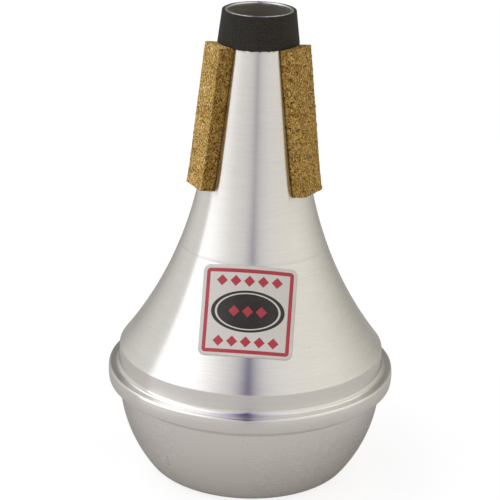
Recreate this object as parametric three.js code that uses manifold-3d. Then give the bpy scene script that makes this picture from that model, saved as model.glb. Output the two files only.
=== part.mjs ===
// Trumpet straight mute: a spun metal cone whose foot is rolled over the hem of a spun bowl,
// with a rubber sleeve round its small end, three cork grip strips and a label.
// Millimetres, +Z up along the turning axis, origin at the centre of the flat it stands on.
// The label faces -Y, and a strip of cork lies a sixth of a turn to each side of it.
import * as THREE from "three";
import { mergeVertices } from "three/addons/utils/BufferGeometryUtils.js";
import Module from "manifold-3d";

// Sheet metal, and the clearance that every seat keeps
const sheetWall = 1.0;
const fitGap = 0.3;

// Bowl, from the flat it stands on up to the rolled lip
const bowlDepth = 34.1;
const bowlArcRadius = 52.6;
const bowlKnuckleRadius = 6.0;
const bowlRimFillet = 1.0;

// Rolled seam, where the cone's foot turns out, down and in again round the bowl's hem
const flangeWidth = 4.2;
const flangeFillet = 1.6;
const bandHeight = 5.6;
const bandCrown = 0.3;
const bandRound = 0.8;
const lipRound = 0.9;

// Cone: a short upright skirt, a flare in one arc and a straight tapered neck
const shoulderRadius = 48.3;
const shoulderRound = 0.8;
const skirtHeight = 7.4;
const flareHeight = 72.2;
const neckHeight = 52.5;
const neckTaperDegrees = 7.1;
const rimRadius = 12.0;

// Rubber sleeve, measured down the neck from the rim
const sleeveSetback = 0.2;
const sleeveLength = 11.5;
const sleeveWall = 0.65;
const sleeveEdgeRound = 0.3;

// Cork strips, which start below the sleeve and follow the cone
const corkLength = 51.3;
const corkWidth = 11.7;
const corkThickness = 4.1;
const corkEdge = 0.35;
const corkNames = ["cork_front_right", "cork_rear", "cork_front_left"];
const corkFirstTurnDegrees = 60;
const corkTurnDegrees = 120;

// Label, centred on the front of the flare
const labelWidth = 33.0;
const labelHeight = 32.0;
const labelCorner = 2.5;
const labelFilm = 0.25;
const labelDistance = 102.5;
const labelTiltDegrees = 1.5;

// Steps of the curved surfaces
const turningSteps = 60;
const flareSteps = 10;
const bowlSteps = 9;
const knuckleSteps = 4;
const cornerSteps = 3;
const labelCornerSteps = 4;
const straightShare = 0.49;

const finishes = {
  spunAluminium: { color: 0xd6d3cd, roughness: 0.32, metalness: 1 },
  satinAluminium: { color: 0xbcb8b0, roughness: 0.42, metalness: 1 },
  blackRubber: { color: 0x34302c, roughness: 0.8, metalness: 0 },
  pressedCork: { color: 0xb08a50, roughness: 0.95, metalness: 0 },
  printedFilm: { color: 0xe1deda, roughness: 0.4, metalness: 0 },
};

// Heights above the flat
const lipHeight = bowlDepth;
const flangeTop = lipHeight + bandHeight;
const shoulderHeight = flangeTop + skirtHeight;
const neckFootHeight = shoulderHeight + flareHeight;
const rimHeight = neckFootHeight + neckHeight;

const wasm = await Module();
wasm.setup();

const point = (radius, height) => new THREE.Vector2(radius, height);

// The cone's outer line, measured down its slope from the rim: straight to the neck's foot,
// then one arc that is tangent there and reaches the shoulder.
const neckTaper = THREE.MathUtils.degToRad(neckTaperDegrees);
const neckLength = neckHeight / Math.cos(neckTaper);
const rimCorner = point(rimRadius, rimHeight);
const shoulderCorner = point(shoulderRadius, shoulderHeight);
const neckDown = point(Math.sin(neckTaper), -Math.cos(neckTaper));
const neckOut = point(Math.cos(neckTaper), Math.sin(neckTaper));
const neckFoot = rimCorner.clone().addScaledVector(neckDown, neckLength);
const flareChord = shoulderCorner.clone().sub(neckFoot);
const flareRise = flareChord.dot(neckOut);
const flareRadius = flareChord.lengthSq() / (2 * flareRise);
const flareSweep = 2 * Math.atan2(flareRise, flareChord.dot(neckDown));
const flareLength = flareRadius * flareSweep;
const coneLength = neckLength + flareLength;
const coneStations = Array.from(
  { length: flareSteps },
  (_, step) => neckLength + (flareLength * step) / flareSteps,
);

// How far the slope has turned from the vertical at a distance down the cone.
function coneSlope(distance) {
  return neckTaper + Math.max(distance - neckLength, 0) / flareRadius;
}

// The point at a distance down the cone's outer line, moved out from the metal by an offset.
function conePoint(distance, offset) {
  const slope = coneSlope(distance);
  const outward = point(Math.cos(slope), Math.sin(slope));
  if (distance <= neckLength) {
    const along = rimCorner.clone().addScaledVector(neckDown, distance);
    return along.addScaledVector(outward, offset);
  }
  const centre = neckFoot.clone().addScaledVector(neckOut, flareRadius);
  return centre.addScaledVector(outward, offset - flareRadius);
}

// A stretch of the cone's line between two distances, at an offset from the metal.
function coneLine(from, to, offset) {
  const between = coneStations.filter((distance) => distance > from && distance < to);
  return [from, ...between, to].map((distance) => conePoint(distance, offset));
}

// A corner of an outline: its radius and height, and how round it is.
const corner = (radius, height, round = 0) => ({ at: point(radius, height), round });
const plain = (at) => ({ at, round: 0 });

// A closed outline as points, with an arc at each round corner. An arc that has no room
// for its radius takes what its two sides leave.
function roundedOutline(corners) {
  return corners.flatMap(({ at, round }, index) => {
    if (round === 0) return [at];
    const before = corners[(index + corners.length - 1) % corners.length].at.clone().sub(at);
    const after = corners[(index + 1) % corners.length].at.clone().sub(at);
    const room = straightShare * Math.min(before.length(), after.length());
    before.normalize();
    after.normalize();
    const halfAngle = Math.acos(before.dot(after)) / 2;
    const tangent = Math.min(round / Math.tan(halfAngle), room);
    const radius = tangent * Math.tan(halfAngle);
    const inward = before.clone().add(after).normalize();
    const centre = at.clone().addScaledVector(inward, radius / Math.sin(halfAngle));
    const start = at.clone().addScaledVector(before, tangent).sub(centre);
    const end = at.clone().addScaledVector(after, tangent).sub(centre);
    const sweep = Math.atan2(start.cross(end), start.dot(end));
    return Array.from({ length: cornerSteps + 1 }, (_, step) =>
      start.clone().rotateAround(point(0, 0), (sweep * step) / cornerSteps).add(centre),
    );
  });
}

// A closed outline, listed clockwise in radius and height, turned about the axis.
function turned(outline) {
  const ring = [...outline, outline[0]].reverse();
  return new THREE.LatheGeometry(ring, turningSteps).rotateX(Math.PI / 2);
}

// A closed geometry as a solid that can be cut, and a solid as a geometry again.
function solidOf(geometry) {
  const bare = geometry.clone();
  bare.deleteAttribute("normal");
  bare.deleteAttribute("uv");
  const merged = mergeVertices(bare);
  return new wasm.Manifold(
    new wasm.Mesh({
      numProp: 3,
      vertProperties: new Float32Array(merged.getAttribute("position").array),
      triVerts: new Uint32Array(merged.getIndex().array),
    }),
  );
}

function geometryOf(solid) {
  const mesh = solid.getMesh();
  const geometry = new THREE.BufferGeometry();
  geometry.setAttribute("position", new THREE.BufferAttribute(mesh.vertProperties, 3));
  geometry.setIndex(new THREE.BufferAttribute(mesh.triVerts, 1));
  return geometry.toNonIndexed();
}

// The rolled seam's radii and heights, which the cone and the bowl share
const bandRadius = shoulderRadius + flangeWidth;
const bandEdgeRadius = bandRadius - bandCrown;
const bandInside = bandEdgeRadius - sheetWall;
const bandMiddle = (lipHeight + flangeTop) / 2;
const skirtInside = shoulderRadius - sheetWall;
const flangeUnderside = flangeTop - sheetWall;
const lipInnerTop = lipHeight + sheetWall;
const hemOutside = bandInside - fitGap;
const hemInside = hemOutside - sheetWall;
const hemFoot = lipInnerTop + fitGap;
const bowlRimTop = flangeUnderside - fitGap;
const bowlRimUnderside = bowlRimTop - sheetWall;

function bodyShell() {
  const footSlope = neckTaper + flareSweep;
  const innerShoulder = shoulderHeight - sheetWall * Math.tan(footSlope / 2);
  const rimInside = rimRadius - sheetWall / Math.cos(neckTaper);
  const outside = coneLine(0, coneLength, 0).slice(0, -1);
  const inside = coneStations.map((distance) => conePoint(distance, -sheetWall)).reverse();
  return turned(
    roundedOutline([
      ...outside.map(plain),
      corner(shoulderRadius, shoulderHeight, shoulderRound),
      corner(shoulderRadius, flangeTop, flangeFillet),
      corner(bandEdgeRadius, flangeTop, bandRound),
      corner(bandRadius, bandMiddle),
      corner(bandEdgeRadius, lipHeight, lipRound),
      corner(hemInside, lipHeight),
      corner(hemInside, lipInnerTop),
      corner(bandInside, lipInnerTop),
      corner(bandInside, flangeUnderside),
      corner(skirtInside, flangeUnderside, flangeFillet + sheetWall),
      corner(skirtInside, innerShoulder),
      ...inside.map(plain),
      corner(rimInside, rimHeight),
    ]),
  );
}

// The bowl's line from the axis to its mouth: the flat it stands on, a knuckle and one arc
// that is upright at the mouth. The inset is 0 outside and the wall inside.
function bowlLine(inset) {
  const arcCentre = point(shoulderRadius - bowlArcRadius, lipHeight);
  const tangentRadius = bowlArcRadius - bowlKnuckleRadius;
  const knuckleAngle = Math.asin((lipHeight - bowlKnuckleRadius) / tangentRadius);
  const knuckleCentre = point(
    arcCentre.x + tangentRadius * Math.cos(knuckleAngle),
    bowlKnuckleRadius,
  );
  const arc = (centre, radius, from, to, steps) =>
    Array.from({ length: steps }, (_, step) => {
      const angle = from + ((to - from) * step) / steps;
      return point(centre.x + radius * Math.cos(angle), centre.y - radius * Math.sin(angle));
    });
  const knuckle = arc(
    knuckleCentre,
    bowlKnuckleRadius - inset,
    Math.PI / 2,
    knuckleAngle,
    knuckleSteps,
  );
  const side = arc(arcCentre, bowlArcRadius - inset, knuckleAngle, 0, bowlSteps);
  return [point(0, inset), ...knuckle, ...side];
}

function baseBowl() {
  const outside = bowlLine(0).reverse();
  const inside = bowlLine(sheetWall);
  const outline = roundedOutline([
    ...inside.map(plain),
    corner(skirtInside, lipHeight),
    corner(skirtInside, bowlRimTop, bowlRimFillet + sheetWall),
    corner(hemOutside, bowlRimTop, bandRound),
    corner(hemOutside, hemFoot),
    corner(hemInside, hemFoot),
    corner(hemInside, bowlRimUnderside),
    corner(shoulderRadius, bowlRimUnderside, bowlRimFillet),
    corner(shoulderRadius, lipHeight),
    ...outside.map(plain),
  ]);
  return turned(outline);
}

function endSleeve() {
  const end = sleeveSetback + sleeveLength;
  const outside = coneLine(sleeveSetback, end, fitGap + sleeveWall).map(plain);
  const inside = coneLine(sleeveSetback, end, fitGap).reverse().map(plain);
  outside[0].round = sleeveEdgeRound;
  outside.at(-1).round = sleeveEdgeRound;
  return turned(roundedOutline([...outside, ...inside]));
}

// One strip facing -Y: a slab along the cone, hollowed by the cone itself and a glue line.
function corkStrip() {
  const start = sleeveSetback + sleeveLength + fitGap;
  const end = start + corkLength;
  const outer = fitGap + corkThickness;
  const slabSide = [
    ...coneLine(start, end, outer),
    ...coneLine(start, end, -corkThickness).reverse(),
  ];
  const slab = new THREE.ExtrudeGeometry(new THREE.Shape(slabSide), {
    depth: corkWidth - 2 * corkEdge,
    bevelThickness: corkEdge,
    bevelSize: corkEdge,
    bevelOffset: -corkEdge,
    bevelSegments: 1,
  });
  slab.translate(0, 0, corkEdge - corkWidth / 2);
  slab.applyMatrix4(
    new THREE.Matrix4().makeBasis(
      new THREE.Vector3(0, -1, 0),
      new THREE.Vector3(0, 0, 1),
      new THREE.Vector3(-1, 0, 0),
    ),
  );
  const line = coneLine(0, coneLength, fitGap);
  const core = turned([point(0, line[0].y), ...line, point(0, line.at(-1).y)]);
  return solidOf(slab).subtract(solidOf(core));
}

// The label: a rounded rectangle pressed through a thin skin that follows the cone.
function labelFace() {
  const slope = coneSlope(labelDistance);
  const centre = conePoint(labelDistance, 0);
  const halfWidth = labelWidth / 2 - labelCorner;
  const halfHeight = labelHeight / 2 - labelCorner;
  const outline = new THREE.Shape();
  outline.absarc(halfWidth, halfHeight, labelCorner, 0, Math.PI / 2);
  outline.absarc(-halfWidth, halfHeight, labelCorner, Math.PI / 2, Math.PI);
  outline.absarc(-halfWidth, -halfHeight, labelCorner, Math.PI, -Math.PI / 2);
  outline.absarc(halfWidth, -halfHeight, labelCorner, -Math.PI / 2, 0);
  const press = new THREE.ExtrudeGeometry(outline, {
    depth: labelWidth,
    bevelEnabled: false,
    curveSegments: labelCornerSteps,
  });
  press.translate(0, 0, -labelWidth / 2);
  press.rotateZ(-THREE.MathUtils.degToRad(labelTiltDegrees));
  press.rotateX(Math.PI / 2 - slope);
  press.translate(0, -centre.x, centre.y);
  const from = labelDistance - labelHeight;
  const to = Math.min(labelDistance + labelHeight, coneLength);
  const skin = turned([
    ...coneLine(from, to, fitGap + labelFilm),
    ...coneLine(from, to, fitGap).reverse(),
  ]);
  return geometryOf(solidOf(press).intersect(solidOf(skin)));
}

function named(name, geometry, finish) {
  const mesh = new THREE.Mesh(geometry, new THREE.MeshStandardMaterial(finish));
  mesh.geometry.computeVertexNormals();
  mesh.name = name;
  return mesh;
}

const mute = new THREE.Group();
mute.add(named("body_shell", bodyShell(), finishes.spunAluminium));
mute.add(named("base_bowl", baseBowl(), finishes.satinAluminium));
mute.add(named("end_sleeve", endSleeve(), finishes.blackRubber));
mute.add(named("label", labelFace(), finishes.printedFilm));

const strip = corkStrip();
corkNames.forEach((name, index) => {
  const cork = named(name, geometryOf(strip), finishes.pressedCork);
  const turnDegrees = corkFirstTurnDegrees + index * corkTurnDegrees;
  cork.rotation.z = THREE.MathUtils.degToRad(turnDegrees);
  mute.add(cork);
});

export default mute;
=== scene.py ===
"""The looks of a trumpet straight mute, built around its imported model.

The mute stands on its bowl, with its turning axis on Z and its label towards -Y. A spun
aluminium cone is rolled over the hem of a spun bowl. A rubber sleeve and three cork strips
go round its small end. Lengths are metres, and MM turns a size in millimetres into metres.
"""

import logging
import math
from collections.abc import Callable
from dataclasses import dataclass, field
from enum import Enum

import bpy
import numpy as np
from mathutils import Euler, Matrix, Vector


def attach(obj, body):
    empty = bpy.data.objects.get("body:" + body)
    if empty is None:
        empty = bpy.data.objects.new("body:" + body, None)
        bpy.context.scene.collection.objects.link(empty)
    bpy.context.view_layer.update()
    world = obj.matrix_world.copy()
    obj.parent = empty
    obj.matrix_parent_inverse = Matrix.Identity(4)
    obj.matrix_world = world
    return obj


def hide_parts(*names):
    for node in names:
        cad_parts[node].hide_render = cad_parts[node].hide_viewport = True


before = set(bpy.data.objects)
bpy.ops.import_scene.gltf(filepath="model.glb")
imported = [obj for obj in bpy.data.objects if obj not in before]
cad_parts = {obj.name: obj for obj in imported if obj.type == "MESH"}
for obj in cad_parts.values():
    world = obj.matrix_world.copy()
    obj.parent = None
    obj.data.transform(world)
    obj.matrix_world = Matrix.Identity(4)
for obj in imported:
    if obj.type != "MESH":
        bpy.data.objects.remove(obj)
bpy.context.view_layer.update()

LOG = logging.getLogger("mute")
MM = 0.001
TINY = 0.001 * MM
Point = tuple[float, float, float]
Line = list[tuple[float, float]]


class Slot(Enum):
    """The record's material slots."""

    SPUN = "spun_aluminium"
    SATIN = "satin_aluminium"
    RUBBER = "black_rubber"
    CORK = "pressed_cork"
    FILM = "printed_film"


def shade(red: int, green: int, blue: int) -> tuple[float, float, float, float]:
    """A colour written in 0 to 255 display steps, as the shader's linear colour.

    Args:
        red: Red step.
        green: Green step.
        blue: Blue step.

    Returns:
        Linear red, green, blue and an alpha of 1.
    """
    def linear(step: int) -> float:
        """One step as a linear share."""
        share = step / 255
        return share / 12.92 if share <= 0.04045 else ((share + 0.055) / 1.055) ** 2.4

    return linear(red), linear(green), linear(blue), 1.0


def worked(operation: str, swapped: bool = False) -> Callable[..., "Wire"]:
    """A method that does one operation on a wire.

    Args:
        operation: Name of the operation.
        swapped: True makes the wire the last operand.

    Returns:
        The method.
    """
    def method(wire: "Wire", *others: "Value") -> "Wire":
        """The operation's answer."""
        return wire.kit.math(operation, *((*others, wire) if swapped else (wire, *others)))

    return method


class Wire:
    """A value in a node tree, on which arithmetic works as on a plain number or vector."""

    def __init__(self, kit: "Kit", socket: bpy.types.NodeSocket) -> None:
        """Keeps the tree's kit and the output that the value comes from."""
        self.kit = kit
        self.socket = socket

    __add__, __radd__ = worked("ADD"), worked("ADD", swapped=True)
    __sub__, __rsub__ = worked("SUBTRACT"), worked("SUBTRACT", swapped=True)
    __mul__, __rmul__ = worked("MULTIPLY"), worked("MULTIPLY", swapped=True)
    __truediv__, __rtruediv__ = worked("DIVIDE"), worked("DIVIDE", swapped=True)
    __lt__, __gt__ = worked("LESS_THAN"), worked("GREATER_THAN")
    __pow__, __abs__ = worked("POWER"), worked("ABSOLUTE")


Value = Wire | float | int | tuple | str | bpy.types.Material | None


class Kit:
    """Adds nodes to one tree and links them."""

    def __init__(self, tree: bpy.types.NodeTree) -> None:
        """Keeps the shader or geometry node tree."""
        self.tree = tree

    def feed(self, socket: bpy.types.NodeSocket, value: Value) -> None:
        """Links a wire into a socket, or sets a plain value on it.

        Args:
            socket: The input that receives.
            value: What it gets. None leaves it as it is.
        """
        if isinstance(value, Wire):
            self.tree.links.new(value.socket, socket)
        elif value is not None:
            socket.default_value = value

    def node(self, kind: str, inputs: dict | None = None, **settings: object) -> bpy.types.Node:
        """Adds one node.

        Args:
            kind: The node's type name.
            inputs: What feeds its inputs, by name or by place.
            **settings: The node's own properties.

        Returns:
            The node.
        """
        made = self.tree.nodes.new(kind)
        for name, value in settings.items():
            setattr(made, name, value)
        for key, value in (inputs or {}).items():
            self.feed(made.inputs[key], value)
        return made

    def wire(
        self, kind: str, inputs: dict | None = None, output: int | str = 0, **settings: object
    ) -> Wire:
        """Adds one node, as node does, and gives one of its outputs by name or by place."""
        return Wire(self, self.node(kind, inputs, **settings).outputs[output])

    def math(self, operation: str, *values: Value, clamp: bool = False) -> Wire:
        """A number or a vector worked out from up to three others.

        Args:
            operation: Name of the operation. To multiply a vector by a number scales it.
            *values: Its operands. A tuple is a vector.
            clamp: True keeps a number from 0 to 1.

        Returns:
            The answer.
        """
        wide = [
            value.socket.type in ("VECTOR", "RGBA") if isinstance(value, Wire) else isinstance(value, tuple)
            for value in values
        ]
        inputs = dict(enumerate(values))
        if not any(wide):
            return self.wire("ShaderNodeMath", inputs, operation=operation, use_clamp=clamp)
        if operation == "MULTIPLY" and not all(wide):
            operation = "SCALE"
            inputs = {0: values[wide.index(True)], "Scale": values[wide.index(False)]}
        output = "Value" if operation in ("LENGTH", "DOT_PRODUCT") else "Vector"
        return self.wire("ShaderNodeVectorMath", inputs, output, operation=operation)

    def parts(self, vector: Value) -> list[Wire]:
        """The X, Y and Z of a vector."""
        made = self.node("ShaderNodeSeparateXYZ", {0: vector})
        return [Wire(self, socket) for socket in made.outputs]

    def joined(self, x: Value, y: Value, z: Value = 0.0) -> Wire:
        """A vector from its X, Y and Z."""
        return self.wire("ShaderNodeCombineXYZ", {0: x, 1: y, 2: z})

    def ramp(self, value: Value, start: Value, end: Value, low: Value = 0.0, high: Value = 1.0) -> Wire:
        """A smooth step of a value.

        Args:
            value: What is looked at.
            start: Where the step starts.
            end: Where it ends.
            low: The answer up to the start.
            high: The answer from the end.

        Returns:
            The answer.
        """
        inputs = dict(enumerate((value, start, end, low, high)))
        return self.wire("ShaderNodeMapRange", inputs, interpolation_type="SMOOTHSTEP")

    def layered(self, tone: Value, *layers: tuple[Value, Value]) -> Wire:
        """A colour with others laid over it.

        Args:
            tone: The colour underneath.
            *layers: The others in order, each as how much of it shows and the colour.

        Returns:
            The colour.
        """
        for share, colour in layers:
            made = self.node("ShaderNodeMix", data_type="RGBA")
            sockets = {socket.identifier: socket for socket in (*made.inputs, *made.outputs)}
            for name, value in (("Factor_Float", share), ("A_Color", tone), ("B_Color", colour)):
                self.feed(sockets[name], value)
            tone = Wire(self, sockets["Result_Color"])
        return tone

    def noise(
        self, place: Value, scale: Value, detail: float = 2.0, rough: float = 0.5, flat: bool = False
    ) -> Wire:
        """Soft noise about 0.5.

        Args:
            place: Where it is read.
            scale: How many lumps to a metre.
            detail: How many finer layers it has.
            rough: How strong those are.
            flat: True reads only X and Y.

        Returns:
            The noise.
        """
        inputs = {"Vector": place, "Scale": scale, "Detail": detail, "Roughness": rough}
        return self.wire("ShaderNodeTexNoise", inputs, noise_dimensions="2D" if flat else "3D")

    def cells(self, place: Value, scale: Value, feature: str = "F1") -> tuple[Wire, list[Wire]]:
        """Cells of random shape.

        Args:
            place: Where they are read.
            scale: How many to a metre.
            feature: What the distance is taken to.

        Returns:
            The distance, and the three random numbers of each cell.
        """
        made = self.node("ShaderNodeTexVoronoi", {"Vector": place, "Scale": scale}, feature=feature)
        if feature == "F1":
            return Wire(self, made.outputs["Distance"]), self.parts(Wire(self, made.outputs["Color"]))
        return Wire(self, made.outputs["Distance"]), []


class Effect(Kit):
    """A shader node group in the making, which gives numbers that change over a surface."""

    def __init__(self, name: str, **takes: float | None) -> None:
        """Starts the group.

        Args:
            name: The group's name.
            **takes: Its inputs and their defaults. One without a default is a vector.
        """
        super().__init__(bpy.data.node_groups.new(name, "ShaderNodeTree"))
        for label, default in takes.items():
            kind = "NodeSocketVector" if default is None else "NodeSocketFloat"
            self.feed(self.tree.interface.new_socket(label, in_out="INPUT", socket_type=kind), default)
        start = self.node("NodeGroupInput")
        self.given = [Wire(self, start.outputs[label]) for label in takes]

    def gives(self, **answers: Wire) -> bpy.types.NodeTree:
        """Ends the group with its outputs.

        Args:
            **answers: What comes out, by name.

        Returns:
            The group.
        """
        for label in answers:
            self.tree.interface.new_socket(label, in_out="OUTPUT", socket_type="NodeSocketFloat")
        self.node("NodeGroupOutput", answers)
        return self.tree


class Effects:
    """The node groups that several finishes share, each built once."""

    def __init__(self) -> None:
        """Builds the groups."""
        self.spin_lines = self._spin_lines()
        self.smudges = self._smudges()
        self.specks = self._specks()
        self.mark = self._mark()

    def _spin_lines(self) -> bpy.types.NodeTree:
        """Fine rings left by the spinning tool, closed round the axis, and short streaks in them."""
        kit = Effect("spin_lines", Place=None, Pitch=0.4 * MM)
        place, pitch = kit.given
        x, y, z = kit.parts(place)
        line = kit.joined(kit.math("SQRT", x * x + y * y), z)
        fine = kit.noise(line, 1.0 / pitch, 3.0, 0.65, flat=True)
        broad = kit.noise(line, 0.08 / pitch, 2.0, 0.5, flat=True)
        fading = kit.ramp(kit.noise(place, 45.0, 1.0), 0.35, 0.62, 0.35, 1.0)
        streaks = kit.noise(place * (0.07, 0.07, 1.0), 1.0 / pitch, 3.0, 0.6)
        return kit.gives(Height=(fine - 0.5) * fading, Bands=broad - 0.5, Streaks=streaks - 0.5)

    def _smudges(self) -> bpy.types.NodeTree:
        """Patches where hands and cloths have dulled a surface."""
        kit = Effect("smudges", Place=None, Scale=30.0)
        place, scale = kit.given
        broad = kit.ramp(kit.noise(place, scale, 4.0, 0.6), 0.42, 0.75)
        breaks = kit.ramp(kit.noise(place, scale * 5.0, 2.0, 0.5), 0.1, 0.7)
        return kit.gives(Mask=broad * breaks)

    def _specks(self) -> bpy.types.NodeTree:
        """Rare small dots, such as lint, pits and dust."""
        kit = Effect("specks", Place=None, Spacing=3 * MM, Size=0.2, Share=0.1)
        place, spacing, size, share = kit.given
        distance, draws = kit.cells(place, 1.0 / spacing)
        near = kit.ramp(distance, size * 0.5, size, 1.0, 0.0)
        return kit.gives(Mask=(draws[0] < share) * near)

    def _mark(self) -> bpy.types.NodeTree:
        """One small dot or scratch at a known place."""
        kit = Effect("mark", Place=None, Start=None, Way=None, Width=0.3 * MM)
        place, start, way, width = kit.given
        gone = place - start
        whole = kit.math("MAXIMUM", kit.math("DOT_PRODUCT", way, way), TINY**2)
        share = kit.math("DIVIDE", kit.math("DOT_PRODUCT", gone, way), whole, clamp=True)
        near = kit.math("LENGTH", gone - way * share) / width
        return kit.gives(Mask=kit.ramp(near, 0.25, 0.6, 1.0, 0.0))


class Paint(Kit):
    """The node tree of one new material, round the shader that its finish feeds."""

    def __init__(self, name: str, effects: Effects) -> None:
        """Makes the material.

        Args:
            name: The material's name.
            effects: The shared effects.
        """
        self.material = bpy.data.materials.new(name)
        super().__init__(cleared(self.material))
        self.effects = effects
        self.shader = self.node("ShaderNodeBsdfPrincipled")
        self.node("ShaderNodeOutputMaterial", {"Surface": Wire(self, self.shader.outputs[0])})
        self.place = self.wire("ShaderNodeTexCoord", output="Object")

    def shared(self, effect: bpy.types.NodeTree, **values: Value) -> dict[str, Wire]:
        """Places a shared effect in the material.

        Args:
            effect: The effect's group.
            **values: What feeds its inputs, besides the place on the object.

        Returns:
            Its outputs by name.
        """
        made = self.node("ShaderNodeGroup", {"Place": self.place, **values}, node_tree=effect)
        return {socket.name: Wire(self, socket) for socket in made.outputs}

    def fill(self, height: Wire, depth: float, inputs: dict[str, Value]) -> None:
        """Feeds the shader.

        Args:
            height: The surface's small relief, where 1 is one depth.
            depth: How far 1 stands out, in metres.
            inputs: What feeds the shader's other inputs, by name.
        """
        bump = self.wire("ShaderNodeBump", {"Height": height, "Distance": depth})
        for name, value in {"Normal": bump, **inputs}.items():
            self.feed(self.shader.inputs[name], value)


@dataclass(frozen=True)
class Finish:
    """One material of the mute."""

    name: str
    roughness: float

    def material(self, effects: Effects) -> bpy.types.Material:
        """The finish as a new material."""
        paint = Paint(self.name, effects)
        self.dress(paint)
        return paint.material

    def dress(self, paint: Paint) -> None:
        """Feeds the material's shader. Each finish has its own way."""
        raise NotImplementedError


@dataclass(frozen=True)
class Mark:
    """A small dot or scratch in the metal, from one point to another."""

    start: Point
    end: Point
    width: float = 0.4 * MM
    strength: float = 0.6


@dataclass(frozen=True)
class ShadeAndPolishRing:
    """A ring of painted shade under the edge of a lip, partly old polish, at a height and as far to both
    sides as it reaches.
    """

    height: float
    reach: float
    share: float


@dataclass(frozen=True)
class SpunMetal(Finish):
    """Spun aluminium, which smears a reflection along the slope and keeps it sharp round it."""

    tone: tuple = (0.86, 0.85, 0.83, 1.0)
    dull_tone: tuple = (0.80, 0.79, 0.765, 1.0)
    # Painted shade with some old polish: the colour of the rings under the lip.
    shade_and_polish_tone: tuple = shade(96, 90, 84)
    pitted: tuple = shade(92, 84, 78)
    scratched: tuple = shade(104, 96, 92)
    anisotropy: float = 1.0
    edge_tint: float = 0.86
    pitch: float = 0.45 * MM
    line_depth: float = 0.003 * MM
    roughness_swing: float = 0.06
    bands: float = 0.04
    streaks: float = 0.13
    smudge_scale: float = 26.0
    pit_spacing: float = 5 * MM
    pit_size: float = 0.07
    pit_share: float = 0.02
    # Rings of painted shade under the lip's edge, partly old polish.
    shade_and_polish_rings: tuple[ShadeAndPolishRing, ...] = ()
    # Painted shade: below this height the colour darkens towards the bottom, by up to this share.
    low_shade_height: float = 0.0
    low_shade_share: float = 0.085
    burnished: tuple[float, float] | None = None
    burnished_roughness: float = 0.13
    marks: tuple[Mark, ...] = ()

    def dress(self, paint: Paint) -> None:
        """Feeds the shader with rings, faint smudges, pits and marks, and painted shade: darker towards the
        bottom, and rings of painted shade with some old polish under the lip.

        Args:
            paint: The material in the making.
        """
        lines = paint.shared(paint.effects.spin_lines, Pitch=self.pitch)
        smudge = paint.shared(paint.effects.smudges, Scale=self.smudge_scale)["Mask"]
        spread = {"Spacing": self.pit_spacing, "Size": self.pit_size, "Share": self.pit_share}
        pits = paint.shared(paint.effects.specks, **spread)["Mask"]
        height = paint.parts(paint.place)[2]
        light = lines["Streaks"] * self.streaks + (lines["Bands"] * self.bands + 1.0)
        # Painted shade: darker towards the bottom.
        if self.low_shade_height:
            light = light * paint.ramp(height, 0.0, self.low_shade_height, 1.0 - self.low_shade_share, 1.0)
        tone = paint.layered(self.tone, (smudge * 0.2, self.dull_tone)) * light
        # Rings of painted shade, partly old polish, darken the colour at their heights.
        for ring in self.shade_and_polish_rings:
            ring_shade = paint.ramp(abs(height - ring.height), ring.reach * 0.4, ring.reach, ring.share, 0.0)
            tone = paint.layered(tone, (ring_shade, self.shade_and_polish_tone))
        tone = paint.layered(tone, (pits * 0.75, self.pitted))
        for mark in self.marks:
            tone = paint.layered(tone, (self._marked(paint, mark), self.scratched))
        rough = smudge * 0.012 + (lines["Height"] * self.roughness_swing + self.roughness)
        if self.burnished:
            share = self._burnish(paint, height)
            rough = share * self.burnished_roughness + rough * (1.0 - share)
        paint.fill(lines["Height"], self.line_depth, {
            "Base Color": tone,
            "Metallic": 1.0,
            "Roughness": rough,
            "Specular Tint": (self.edge_tint, self.edge_tint, self.edge_tint, 1.0),
            "Anisotropic": self.anisotropy,
            "Anisotropic Rotation": 0.25,
            "Tangent": paint.wire("ShaderNodeTangent", direction_type="RADIAL", axis="Z"),
        })

    def _burnish(self, paint: Paint, height: Wire) -> Wire:
        """1 between the two heights that the rolling tool has polished."""
        low, high = self.burnished
        return paint.ramp(height, low - 0.3 * MM, low) * paint.ramp(height, high, high + 0.5 * MM, 1.0, 0.0)

    def _marked(self, paint: Paint, mark: Mark) -> Wire:
        """How strongly one mark shows."""
        way = tuple(end - start for start, end in zip(mark.start, mark.end))
        made = paint.shared(paint.effects.mark, Start=mark.start, Way=way, Width=mark.width)
        return made["Mask"] * mark.strength


@dataclass(frozen=True)
class DullMetal(Finish):
    """The unpolished inside of the shell."""

    tone: tuple = shade(230, 226, 217)
    stained: tuple = shade(192, 188, 180)
    pitch: float = 0.9 * MM
    line_depth: float = 0.015 * MM
    stain_scale: float = 60.0

    def dress(self, paint: Paint) -> None:
        """Feeds the shader with rough rings and stains.

        Args:
            paint: The material in the making.
        """
        lines = paint.shared(paint.effects.spin_lines, Pitch=self.pitch)
        stain = paint.shared(paint.effects.smudges, Scale=self.stain_scale)["Mask"]
        paint.fill(lines["Height"], self.line_depth, {
            "Base Color": paint.layered(self.tone, (stain * 0.5, self.stained)),
            "Metallic": 0.9,
            "Roughness": stain * 0.12 + self.roughness,
        })


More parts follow.
